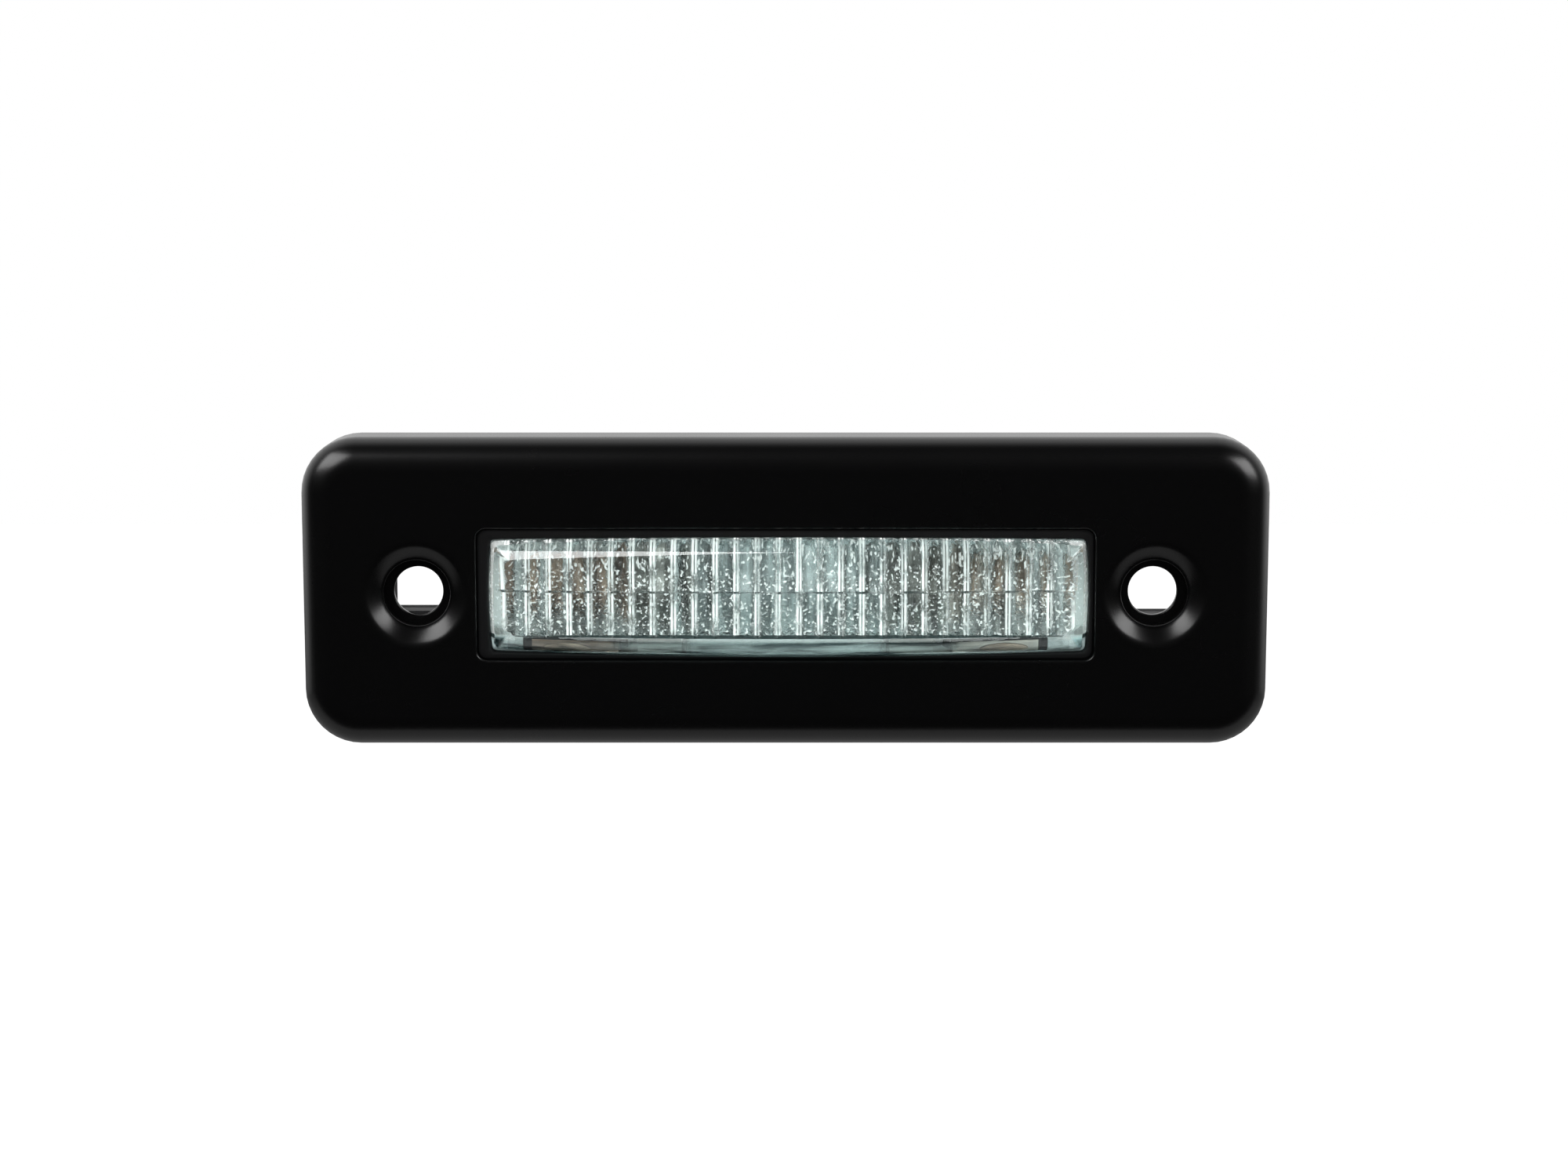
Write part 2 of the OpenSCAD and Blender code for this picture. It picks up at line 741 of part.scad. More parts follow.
cover();
lens();
lens_seal();
housing();
panel_seal();
reflector();
contact_left();
contact_right();
rivet_left();
rivet_right();
terminal_left();
terminal_right();
bulb_glass();
bulb_cap_left();
bulb_cap_right();
bulb_solder_left();
bulb_solder_right();
bulb_lead_left();
bulb_lead_right();
bulb_filament();
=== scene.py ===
"""Looks of the number plate lamp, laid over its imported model.

Shapes are worked out in millimetres, lying face up, as (across, up, out), and stood up in metres when they
become a mesh: across is X, up is Z and out is -Y, the way that the lamp shines.
"""

import math

import bmesh
import bpy
import numpy as np
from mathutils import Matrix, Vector
from mathutils.geometry import delaunay_2d_cdt


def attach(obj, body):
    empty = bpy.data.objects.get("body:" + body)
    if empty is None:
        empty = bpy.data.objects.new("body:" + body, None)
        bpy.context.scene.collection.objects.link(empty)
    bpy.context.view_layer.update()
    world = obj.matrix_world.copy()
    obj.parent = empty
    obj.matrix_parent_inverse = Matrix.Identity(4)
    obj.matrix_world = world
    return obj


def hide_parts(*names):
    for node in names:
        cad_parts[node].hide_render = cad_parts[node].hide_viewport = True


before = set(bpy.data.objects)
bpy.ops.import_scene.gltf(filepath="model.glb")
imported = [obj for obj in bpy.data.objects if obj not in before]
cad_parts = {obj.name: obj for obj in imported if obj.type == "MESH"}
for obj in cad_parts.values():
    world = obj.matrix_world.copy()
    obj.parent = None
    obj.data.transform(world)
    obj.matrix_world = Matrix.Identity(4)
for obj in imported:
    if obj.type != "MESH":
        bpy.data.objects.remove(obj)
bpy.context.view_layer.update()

MM = 0.001
# Edges sharper than this many degrees stay sharp
CREASE = 38

# Cover
COVER_HALF = np.array([49.25, 15.8])
COVER_CORNER = 5.7
COVER_EDGE = 3.2
SHEET = 0.8
FACE_OUT = 8.1
RIM_OUT = 0.6
WINDOW_HALF = np.array([31.3, 6.7])
WINDOW_CORNER = 1.0
HOLE_X = 37.5
HOLE_R = 2.5
DIMPLE_FLOOR_OUT = 5.1
DIMPLE_WALL_R = 3.4
# Bends between the face and a dimple's wall: radius and the slope in degrees that each ends with
DIMPLE_BENDS = ((1.5, 30), (8.0, 39), (1.8, 55), (0.3, 90))

# Lens. LENS_FRONT is the front wall over the lower row of flutes, and ROW_STEP is added to it over the upper one
LENS_MIDDLE = np.array([0.3, -0.15])
LENS_HALF = np.array([30.45, 6.05])
LENS_TOP_OUT = 10.9
LENS_CROWN = 1.4
LENS_EDGE = 2.8
LENS_CORNER = 0.5
LENS_END_WALL = 1.95
HOLLOW_TOP = 4.6
HOLLOW_FOOT = 4.0
LENS_FRONT = 3.2
LENS_BACK_OUT = 5.0
FLANGE_HALF = np.array([31.65, 7.75])
FLANGE_CORNER = 2.0
GLAND_OUT = 6.4
FLUTES = 27
FLUTE_PITCH = 2.11
FLUTE_R = 1.3
FLUTE_DEPTH = 0.45
ROW_STEP = 0.5
ROW_LINE = 0.45
# How far the lens's upper and lower sides stand out at their middles and draw in towards their ends
LENS_BOW_TOP = (-0.12, 0.22)
LENS_BOW_FOOT = (0.12, 0.45)
# How far the corners draw in from the lens's ends
LENS_BOW_ENDS = 0.3

# Seals
LIP_OUT = 7.75
SEAL_OUT = 2.0
SEAL_HALF = np.array([47.1, 13.65])
SEAL_CORNER = 4.45
SEAL_HOLE_HALF = np.array([32.15, 8.25])
SEAL_HOLE_CORNER = 3.7
# Half width and half height of the screw slots to the left (-1) and to the right (1)
SLOT_HALVES = {-1: (2.75, 2.2), 1: (3.5, 2.6)}
# How much higher the upper edge of the left slot is made in the housing's copy
LEFT_SLOT_LIFT = 0.35


# Outlines and surfaces


def arc(x, y, r, start, end, steps=8):
    """Points of an arc round (x, y) between two angles in degrees."""
    angles = np.radians(np.linspace(start, end, steps + 1))
    return np.stack([x + r * np.cos(angles), y + r * np.sin(angles)], -1)


def path(*parts):
    """One profile from points and arcs."""
    return np.concatenate([np.atleast_2d(np.asarray(part, float)) for part in parts])


def outline(half, r, corner_steps=10, runs=(24, 6)):
    """Rounded rectangle, anticlockwise: four quarter arcs joined by evenly divided long and short runs."""
    angles = np.radians(np.arange(4)[:, None] * 90 - 90 + np.linspace(0, 90, corner_steps + 1))
    signs = np.array([[1, -1], [1, 1], [-1, 1], [-1, -1]])
    arcs = (signs * (np.asarray(half) - r))[:, None] + r * np.stack([np.cos(angles), np.sin(angles)], -1)
    ends = np.roll(arcs[:, 0], -1, 0)
    parts = []
    for side in range(4):
        t = np.linspace(0, 1, runs[(side + 1) % 2] + 1)[1:-1, None]
        parts += [arcs[side], arcs[side, -1] * (1 - t) + ends[side] * t]
    return np.concatenate(parts)


def slide(r, out, bends, bottom, steps=10):
    """Profile that leaves a flat at (r, out) and dives towards the axis: bends that follow each other without a
    kink, then a straight wall down to the height of bottom."""
    points, before = [(r, out)], 0.0
    for radius, slope in bends:
        after = math.radians(slope)
        turns = np.linspace(before, after, steps + 1)[1:]
        inwards = radius * (np.sin(turns) - math.sin(before))
        down = radius * (math.cos(before) - np.cos(turns))
        x, y = points[-1]
        points += list(zip(x - inwards, y - down))
        before = after
    return np.array(points + [(points[-1][0], bottom)])


def circle(x, r, steps=96):
    """Circle round (x, 0), anticlockwise."""
    angles = np.linspace(0, 2 * np.pi, steps, endpoint=False)
    return np.stack([x + r * np.cos(angles), r * np.sin(angles)], -1)


def at(ring, out):
    """A plane outline lifted to a height, which may differ from point to point."""
    return np.column_stack([ring, np.broadcast_to(out, len(ring))])


def skin(rows, round_columns=True, round_rows=False):
    """Quads between the neighbouring rows and columns of a grid of points; either way may close on itself."""
    rows = np.asarray(rows)
    index = np.arange(rows.shape[0] * rows.shape[1]).reshape(rows.shape[:2])
    a = index if round_rows else index[:-1]
    b = np.roll(index, -1, 0) if round_rows else index[1:]
    a1, b1 = np.roll(a, -1, 1), np.roll(b, -1, 1)
    if not round_columns:
        a, b, a1, b1 = a[:, :-1], b[:, :-1], a1[:, :-1], b1[:, :-1]
    return rows.reshape(-1, 3), np.stack([a, a1, b1, b], -1).reshape(-1, 4)


def inside(points, ring):
    """Which points lie in a closed outline: those whose ray to the right crosses it an odd number of times."""
    a, b = ring, np.roll(ring, -1, 0)
    x, y = points[:, :1], points[:, 1:]
    with np.errstate(divide="ignore", invalid="ignore"):
        crossing = a[:, 0] + (y - a[:, 1]) / (b[:, 1] - a[:, 1]) * (b[:, 0] - a[:, 0])
    return (((a[:, 1] > y) != (b[:, 1] > y)) & (crossing > x)).sum(1) % 2 == 1


def flat(out, edge, *holes):
    """The plane between an outline and its holes: Delaunay triangles, less those whose middle is in a hole."""
    rings = [edge, *holes]
    points = np.concatenate(rings)
    starts = np.cumsum([0] + [len(ring) for ring in rings])
    edges = [
        (int(first + i), int(first + (i + 1) % len(ring)))
        for first, ring in zip(starts, rings)
        for i in range(len(ring))
    ]
    _, _, triangles, origins, _, _ = delaunay_2d_cdt([Vector(p) for p in points], edges, [], 0, 1e-6)
    triangles = np.array([[origins[i][0] for i in triangle] for triangle in triangles])
    middles = points[triangles].mean(1)
    keep = inside(middles, edge) & ~np.any([inside(middles, hole) for hole in holes], 0)
    return at(points, out), triangles[keep]


def weld(surfaces):
    """Joins surfaces into one mesh: points that share a place become one, and faces that collapse are dropped."""
    points = np.concatenate([p for p, _ in surfaces])
    starts = np.cumsum([0] + [len(p) for p, _ in surfaces])
    places = np.round(points * 1e5).astype(np.int64)
    _, first, index = np.unique(places, axis=0, return_index=True, return_inverse=True)
    index = index.reshape(-1)
    faces = []
    for (_, quads), start in zip(surfaces, starts):
        faces += [list(dict.fromkeys(face)) for face in index[np.asarray(quads) + start].tolist()]
    return points[first], [face for face in faces if len(face) > 2]


def stand(points):
    """(across, up, out) in millimetres as (x, y, z) in metres."""
    return points[:, [0, 2, 1]] * (MM, -MM, MM)


def finish_normals(obj, crease):
    """Smooth shading that stays flat on flats, with edges sharper than crease degrees kept sharp."""
    obj.data.shade_smooth()
    obj.data.set_sharp_from_angle(angle=math.radians(crease))
    weighted = obj.modifiers.new("flat_faces_first", "WEIGHTED_NORMAL")
    weighted.keep_sharp = True
    weighted.weight = 100


def add_piece(name, surfaces, material, slot, *nodes, crease=CREASE):
    """A new piece from surfaces, facing outwards, which rides on the lamp and stands for CAD nodes."""
    points, faces = weld(surfaces)
    mesh = bpy.data.meshes.new(name)
    mesh.from_pydata(stand(points).tolist(), [], faces)
    shape = bmesh.new()
    shape.from_mesh(mesh)
    bmesh.ops.recalc_face_normals(shape, faces=shape.faces)
    shape.to_mesh(mesh)
    shape.free()
    mesh.materials.append(material)
    obj = bpy.data.objects.new(name, mesh)
    bpy.context.scene.collection.objects.link(obj)
    finish_normals(obj, crease)
    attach(obj, "root")
    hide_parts(*nodes)
    return obj


def add_rounded(name, node, material, width):
    """A copy of a CAD node with its triangles merged into flats and its edges rounded by width millimetres.
    Angles in degrees say what counts as flat and which edges are rounded."""
    flat_angle, edge_angle, bevel_steps = 0.5, 40, 3
    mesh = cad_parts[node].data.copy()
    mesh.name = name
    shape = bmesh.new()
    shape.from_mesh(mesh)
    bmesh.ops.remove_doubles(shape, verts=shape.verts, dist=1e-6)
    bmesh.ops.dissolve_limit(
        shape,
        angle_limit=math.radians(flat_angle),
        use_dissolve_boundaries=False,
        verts=shape.verts,
        edges=shape.edges,
    )
    shape.to_mesh(mesh)
    shape.free()
    mesh.materials.clear()
    mesh.materials.append(material)
    obj = bpy.data.objects.new(name, mesh)
    bpy.context.scene.collection.objects.link(obj)
    if "custom_normal" in mesh.attributes:
        mesh.attributes.remove(mesh.attributes["custom_normal"])
    rounding = obj.modifiers.new("rounded_edges", "BEVEL")
    rounding.width = width * MM
    rounding.segments = bevel_steps
    rounding.limit_method = "ANGLE"
    rounding.angle_limit = math.radians(edge_angle)
    finish_normals(obj, CREASE)
    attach(obj, "root")
    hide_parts(node)
    return obj


# Shader nodes, and node groups for the patterns that several materials share


def new_group(name, inputs, outputs):
    """An empty shader node group with float inputs and outputs; gives the group and its two end nodes."""
    group = bpy.data.node_groups.new(name, "ShaderNodeTree")
    for label, value in inputs.items():
        group.interface.new_socket(name=label, in_out="INPUT", socket_type="NodeSocketFloat").default_value = value
    for label in outputs:
        group.interface.new_socket(name=label, in_out="OUTPUT", socket_type="NodeSocketFloat")
    return group, group.nodes.new("NodeGroupInput"), group.nodes.new("NodeGroupOutput")


def math_node(tree, operation, a, b=0.0):
    """A Math node on two sockets or numbers; gives its output."""
    node = tree.nodes.new("ShaderNodeMath")
    node.operation = operation
    for socket, value in zip(node.inputs, (a, b)):
        if isinstance(value, (int, float)):
            socket.default_value = value
        else:
            tree.links.new(value, socket)
    return node.outputs[0]


def product(tree, first, *others):
    """Product of sockets or numbers; gives its output."""
    for other in others:
        first = math_node(tree, "MULTIPLY", first, other)
    return first


def range_node(tree, value, low, high, start=0.0, end=1.0):
    """Carries a value smoothly from the range low to high over to start to end; gives its output."""
    node = tree.nodes.new("ShaderNodeMapRange")
    node.interpolation_type = "SMOOTHSTEP"
    tree.links.new(value, node.inputs["Value"])
    for label, number in zip(("From Min", "From Max", "To Min", "To Max"), (low, high, start, end)):
        node.inputs[label].default_value = number
    return node.outputs["Result"]


def line_node(tree, value, middle, core, edge, strength):
    """A line: strength where value lies within core of the middle, fading to nothing at edge, in millimetres."""
    distance = math_node(tree, "ABSOLUTE", math_node(tree, "SUBTRACT", value, middle * MM))
    return range_node(tree, distance, core * MM, edge * MM, strength, 0.0)


def mix_node(tree, factor, first, second):
    """Mixes two colours, each a socket or three numbers, by a factor; gives its output."""
    node = tree.nodes.new("ShaderNodeMix")
    node.data_type = "RGBA"
    tree.links.new(factor, node.inputs[0])
    for socket, color in ((node.inputs[6], first), (node.inputs[7], second)):
        if isinstance(color, tuple):
            socket.default_value = (*color, 1)
        else:
            tree.links.new(color, socket)
    return node.outputs[2]


def ramp_node(tree, factor, low, high, dark, light):
    """Blends between two tones as a factor goes from low to high; gives its output."""
    node = tree.nodes.new("ShaderNodeValToRGB")
    for element, position, color in zip(node.color_ramp.elements, (low, high), (dark, light)):
        element.position, element.color = position, (*color, 1)
    tree.links.new(factor, node.inputs["Fac"])
    return node.outputs["Color"]


def stretched(tree, vector, scale):
    """A vector scaled axis by axis: a pattern on it is long where the scale is small. Gives its output."""
    node = tree.nodes.new("ShaderNodeMapping")
    node.inputs["Scale"].default_value = scale
    tree.links.new(vector, node.inputs["Vector"])
    return node.outputs["Vector"]


def noise_node(tree, vector, scale, detail):
    """Noise on a vector; scale is a socket or a number of features to the metre. Gives its factor."""
    node = tree.nodes.new("ShaderNodeTexNoise")
    node.inputs["Detail"].default_value = detail
    tree.links.new(vector, node.inputs["Vector"])
    if isinstance(scale, (int, float)):
        node.inputs["Scale"].default_value = scale
    else:
        tree.links.new(scale, node.inputs["Scale"])
    return node.outputs["Fac"]


def make_grain():
    """Skin of paint or moulded plastic: a fine even grain over broad, faint patches of differing gloss."""
    group, start, end = new_group(
        "grain", {"Grain": 6000.0, "Roughness": 0.4, "Patches": 0.08}, ("Roughness", "Height")
    )
    place = group.nodes.new("ShaderNodeTexCoord").outputs["Object"]
    fine = noise_node(group, place, start.outputs["Grain"], 3.0)
    broad = math_node(group, "SUBTRACT", noise_node(group, place, 90.0, 5.0), 0.5)
    patches = math_node(group, "MULTIPLY", broad, start.outputs["Patches"])
    group.links.new(math_node(group, "ADD", start.outputs["Roughness"], patches), end.inputs["Roughness"])
    group.links.new(fine, end.inputs["Height"])
    return group


def make_drawn():
    """Rolled or drawn metal: noise stretched along X, so that it runs as fine lines along the lamp."""
    group, start, end = new_group(
        "drawn", {"Lines": 9000.0, "Roughness": 0.3, "Streaks": 0.15}, ("Roughness", "Height", "Tone")
    )
    place = group.nodes.new("ShaderNodeTexCoord").outputs["Object"]
    lines = noise_node(group, stretched(group, place, (0.03, 1.0, 1.0)), start.outputs["Lines"], 3.0)
    streaks = math_node(group, "MULTIPLY", math_node(group, "SUBTRACT", lines, 0.5), start.outputs["Streaks"])
    group.links.new(math_node(group, "ADD", start.outputs["Roughness"], streaks), end.inputs["Roughness"])
    group.links.new(lines, end.inputs["Height"])
    group.links.new(noise_node(group, place, 400.0, 6.0), end.inputs["Tone"])
    return group


def make_cells():
    """Foam: closed cells of two sizes, with a dark pit in the middle of each."""
    group, start, end = new_group("cells", {"Cells": 2500.0}, ("Height", "Pit"))
    place = group.nodes.new("ShaderNodeTexCoord").outputs["Object"]
    heights = []
    for factor in (1.0, 2.7):
        cells = group.nodes.new("ShaderNodeTexVoronoi")
        group.links.new(place, cells.inputs["Vector"])
        group.links.new(math_node(group, "MULTIPLY", start.outputs["Cells"], factor), cells.inputs["Scale"])
        heights.append(cells.outputs["Distance"])
    coarse, fine = heights
    group.links.new(math_node(group, "ADD", coarse, math_node(group, "MULTIPLY", fine, 0.4)), end.inputs["Height"])
    group.links.new(coarse, end.inputs["Pit"])
    return group


GRAIN = make_grain()
DRAWN = make_drawn()
CELLS = make_cells()


# Materials


def use_group(material, group, **values):
    """Places a group in a material with its own values."""
    node = material.node_tree.nodes.new("ShaderNodeGroup")
    node.node_tree = group
    for label, value in values.items():
        node.inputs[label].default_value = value
    return node


def new_material(name, color, roughness, metallic=0.0, **sockets):
    """A material with a Principled BSDF whose plain values are set; gives both."""
    material = bpy.data.materials.new(name)
    material.use_nodes = True
    shader = material.node_tree.nodes["Principled BSDF"]
    shader.inputs["Base Color"].default_value = (*color, 1)
    shader.inputs["Roughness"].default_value = roughness
    shader.inputs["Metallic"].default_value = metallic
    for label, value in sockets.items():
        shader.inputs[label.replace("_", " ")].default_value = value
    return material, shader


def bump(material, shader, height, distance):
    """Feeds a height of 0 to 1 into the shader's normal, distance millimetres high."""
    node = material.node_tree.nodes.new("ShaderNodeBump")
    node.inputs["Distance"].default_value = distance * MM
    material.node_tree.links.new(height, node.inputs["Height"])
    material.node_tree.links.new(node.outputs["Normal"], shader.inputs["Normal"])


def tone(material, shader, factor, dark, light, low=0.3, high=0.7):
    """Blends the base colour between two tones as factor goes from low to high."""
    tree = material.node_tree
    tree.links.new(ramp_node(tree, factor, low, high, dark, light), shader.inputs["Base Color"])


def grained(name, color, roughness, grain, height, patches=0.08, **sockets):
    """Paint, plastic or rubber with the shared grain."""
    material, shader = new_material(name, color, roughness, **sockets)
    node = use_group(material, GRAIN, Grain=grain, Roughness=roughness, Patches=patches)
    material.node_tree.links.new(node.outputs["Roughness"], shader.inputs["Roughness"])
    bump(material, shader, node.outputs["Height"], height)
    return material


def drawn(name, dark, light, roughness, lines, height, metallic=1.0):
    """Bare metal with the shared rolling lines and a slightly uneven tone."""
    material, shader = new_material(name, light, roughness, metallic)
    node = use_group(material, DRAWN, Lines=lines, Roughness=roughness, Streaks=0.15)
    material.node_tree.links.new(node.outputs["Roughness"], shader.inputs["Roughness"])
    tone(material, shader, node.outputs["Tone"], dark, light)
    bump(material, shader, node.outputs["Height"], height)
    return material


def foam():
    """Closed-cell foam rubber."""
    material, shader = new_material("foam", (0.03, 0.03, 0.032), 0.9)
    node = use_group(material, CELLS, Cells=1800.0)
    tone(material, shader, node.outputs["Pit"], (0.045, 0.045, 0.048), (0.016, 0.016, 0.017), 0.2, 0.9)
    bump(material, shader, node.outputs["Height"], 0.12)
    return material


def hammered(name, dark, light, roughness, metallic, cells, height):
    """Bright sheet with fine dents, which scatter what they mirror."""
    material, shader = new_material(name, light, roughness, metallic)
    node = use_group(material, CELLS, Cells=cells)
    tone(material, shader, node.outputs["Pit"], light, dark, 0.3, 0.8)
    bump(material, shader, node.outputs["Height"], height)
    return material


def glassy(name, color, ior, ripple):
    """Clear plastic or glass: a refracting shader, but the lamps' light passes straight through to what lies behind.
    Gives the material, its shader, the mix of the two, and ripples as a height."""
    material, shader = new_material(name, color, 0.0, IOR=ior, Transmission_Weight=1.0)
    tree = material.node_tree
    place = tree.nodes.new("ShaderNodeTexCoord").outputs["Object"]
    through = tree.nodes.new("ShaderNodeBsdfTransparent")
    through.inputs["Color"].default_value = (*color, 1)
    mix = tree.nodes.new("ShaderNodeMixShader")
    tree.links.new(tree.nodes.new("ShaderNodeLightPath").outputs["Is Shadow Ray"], mix.inputs["Fac"])
    tree.links.new(shader.outputs["BSDF"], mix.inputs[1])
    tree.links.new(through.outputs["BSDF"], mix.inputs[2])
    tree.links.new(mix.outputs["Shader"], tree.nodes["Material Output"].inputs["Surface"])
    ripples = math_node(tree, "MULTIPLY", noise_node(tree, place, 350.0, 2.0), ripple)
    return material, shader, mix, ripples


def bulb_glass():
    """Thin, faintly rippled glass."""
    material, shader, _, ripples = glassy("bulb_glass", (0.98, 1.0, 1.0), ior=1.5, ripple=0.01)
    bump(material, shader, ripples, 1.0)
    return material


def fluted_plastic():
    """Clear plastic whose inner face is stippled and has painted shade in dark upright bars, with painted highlights
    as white, frosty lines along the feet of the flutes, frosty ends, painted shade as dark lines below the flutes
    and between their rows, and a cloudy lower wall that is streaked along the lamp."""
    clear, frost_and_highlight_white, shadow = (0.90, 0.97, 0.96), (0.94, 0.97, 0.95), (0.02, 0.03, 0.03)
    material, shader, mix, ripples = glassy("clear_lens", clear, ior=1.58, ripple=0.002)
    tree = material.node_tree
    place = tree.nodes.new("ShaderNodeTexCoord").outputs["Object"]
    axes = tree.nodes.new("ShaderNodeSeparateXYZ")
    tree.links.new(place, axes.inputs[0])
    across, out, up = axes.outputs
    from_middle = math_node(tree, "SUBTRACT", across, LENS_MIDDLE[0] * MM)

    # Everything behind the front, and the part of it that lies in front of the flange
    deep = math_node(tree, "GREATER_THAN", out, -(FACE_OUT + 0.3) * MM)
    inner = product(tree, deep, math_node(tree, "LESS_THAN", out, -(LENS_BACK_OUT + 0.2) * MM))
    fine = noise_node(tree, place, 3200.0, 3.0)
    bump(material, shader, math_node(tree, "ADD", ripples, product(tree, fine, inner, 0.1)), 1.0)

    # Painted highlights: white, frosty lines at the feet of the flutes, for the light reflected inside them; patchy,
    # stronger on some flutes than on others, with sparks of painted glint between
    flutes = math_node(tree, "ADD", math_node(tree, "MULTIPLY", from_middle, 1 / (FLUTE_PITCH * MM)), FLUTES / 2)
    turn = math_node(tree, "FRACT", flutes)
    from_top = math_node(tree, "ABSOLUTE", math_node(tree, "SUBTRACT", turn, 0.5))
    rise, fall = range_node(tree, from_top, 0.33, 0.42, 0.0, 0.85), range_node(tree, from_top, 0.465, 0.48, 1.0, 0.0)
    feet = product(tree, rise, fall)
    own = tree.nodes.new("ShaderNodeTexWhiteNoise")
    own.noise_dimensions = "1D"
    tree.links.new(math_node(tree, "FLOOR", flutes), own.inputs["W"])
    patchy = range_node(tree, noise_node(tree, place, 420.0, 4.0), 0.38, 0.6, 0.1, 1.0)
    uneven = product(tree, patchy, range_node(tree, own.outputs["Value"], 0.0, 0.8, 0.5, 1.0))
    sparks = range_node(tree, fine, 0.54, 0.66, 0.0, 0.45)
    frost_and_highlight = product(tree, math_node(tree, "MAXIMUM", product(tree, feet, uneven), sparks), inner)

    # Frosted ends, but for their outer skin
    end_distance = math_node(tree, "ABSOLUTE", from_middle)
    hollow_end = (LENS_HALF[0] - LENS_END_WALL) * MM
    ends = range_node(tree, end_distance, hollow_end - 0.15 * MM, hollow_end, 0.0, 0.22)
    below_skin = math_node(tree, "LESS_THAN", end_distance, (LENS_HALF[0] - 0.35) * MM)
    frost_and_highlight = math_node(tree, "MAXIMUM", frost_and_highlight, product(tree, ends, deep, below_skin))

    # Lower wall: cloudy streaks, lighter to the right
    low = LENS_MIDDLE[1] - HOLLOW_FOOT
    foot = range_node(tree, up, low * MM, (low - 0.4) * MM)
    lengthwise = noise_node(tree, stretched(tree, place, (0.12, 1.0, 1.0)), 900.0, 3.0)
    lighter = range_node(tree, across, 2 * MM, 22 * MM, 0.0, 0.13)
    streaks = math_node(tree, "ADD", lengthwise, lighter)
    streaks = ramp_node(tree, streaks, 0.42, 0.66, (0.01, 0.018, 0.02), (0.42, 0.52, 0.52))
    cloudy = product(tree, foot, deep, 0.9)

    # Painted shade: dark lines along the foot of the flutes and, faint and broken, between their rows
    corner = line_node(tree, up, low, 0.16, 0.26, 1.0)
    row_shade_line = line_node(tree, up, LENS_MIDDLE[1] + ROW_LINE, 0.05, 0.13, 0.5)
    lines = product(tree, math_node(tree, "MAXIMUM", corner, product(tree, row_shade_line, uneven)), inner)

    # Painted shade: dark upright bars over the flutes, for the dark parts seen through them
    upright = noise_node(tree, stretched(tree, place, (1.0, 1.0, 0.12)), 800.0, 4.0)
    bars = range_node(tree, upright, 0.42, 0.6, 0.8, 0.0)
    above_foot = range_node(tree, up, (low + 0.1) * MM, (low + 0.3) * MM)
    dark = math_node(tree, "MAXIMUM", lines, product(tree, bars, above_foot, inner))
    # The base colour takes the painted shade of the dark lines and bars
    base = mix_node(tree, dark, mix_node(tree, foot, clear, streaks), (0.01, 0.015, 0.015))
    tree.links.new(base, shader.inputs["Base Color"])

    # A diffuse layer: frosty ends and lower wall, painted highlights along the flute feet, painted shade along the
    # dark lines
    frost_highlight_and_shade = tree.nodes.new("ShaderNodeBsdfDiffuse")
    pale = mix_node(tree, foot, frost_and_highlight_white, streaks)
    tree.links.new(mix_node(tree, range_node(tree, lines, 0.0, 0.2), pale, shadow), frost_highlight_and_shade.inputs["Color"])
    veil = math_node(tree, "MAXIMUM", cloudy, product(tree, lines, 0.8))
    both = tree.nodes.new("ShaderNodeMixShader")
    tree.links.new(math_node(tree, "MAXIMUM", frost_and_highlight, veil), both.inputs["Fac"])
    tree.links.new(shader.outputs["BSDF"], both.inputs[1])
    tree.links.new(frost_highlight_and_shade.outputs["BSDF"], both.inputs[2])
    tree.links.new(both.outputs["Shader"], mix.inputs[1])
    return material


PAINT = grained(
    "black_paint",
    (0.0012, 0.0012, 0.0013),
    roughness=0.27,
    grain=5200.0,
    height=0.0025,
    patches=0.04,
    Specular_IOR_Level=0.4,
)
RUBBER = grained(
    "black_rubber", (0.004, 0.004, 0.0043), roughness=0.6, grain=4200.0, height=0.01, Specular_IOR_Level=0.2
)
PLASTIC = grained(
    "black_plastic", (0.02, 0.02, 0.021), roughness=0.55, grain=3600.0, height=0.012, Specular_IOR_Level=0.25
)
FOAM = foam()
LENS = fluted_plastic()
GLASS = bulb_glass()
REFLECTOR = hammered(
    "bright_reflector", (0.70, 0.73, 0.73), (0.95, 0.96, 0.96), roughness=0.3, metallic=0.5, cells=1800.0, height=0.12
)
CONTACT = drawn(
    "spring_brass", (0.46, 0.42, 0.39), (0.66, 0.57, 0.50), roughness=0.35, lines=7000.0, height=0.01, metallic=0.6
)
TARNISHED = drawn(
    "spring_brass_tarnished",
    (0.26, 0.17, 0.13),
    (0.60, 0.46, 0.38),
    roughness=0.4,
    lines=7000.0,
    height=0.01,
    metallic=0.6,
)
RIVET = drawn("rivet_brass", (0.36, 0.26, 0.20), (0.62, 0.47, 0.37), roughness=0.4, lines=5000.0, height=0.003)
TINNED = drawn("tinned_brass", (0.60, 0.60, 0.57), (0.78, 0.78, 0.75), roughness=0.28, lines=6000.0, height=0.003)
NICKEL = drawn("nickel", (0.34, 0.33, 0.31), (0.50, 0.49, 0.46), roughness=0.5, lines=5000.0, height=0.003)
SOLDER = drawn("solder", (0.42, 0.42, 0.43), (0.66, 0.66, 0.66), roughness=0.45, lines=2500.0, height=0.01)
WIRE = drawn("wire", (0.30, 0.28, 0.26), (0.52, 0.50, 0.46), roughness=0.35, lines=9000.0, height=0.002)
TUNGSTEN = drawn("tungsten", (0.18, 0.18, 0.19), (0.34, 0.34, 0.35), roughness=0.45, lines=9000.0, height=0.002)


# Pieces


def grown(half, r, profile):
    """Rings round a rounded rectangle that is grown by the profile's first value, at its second as height."""
    return [at(outline(half + reach, r + reach), out) for reach, out in profile]


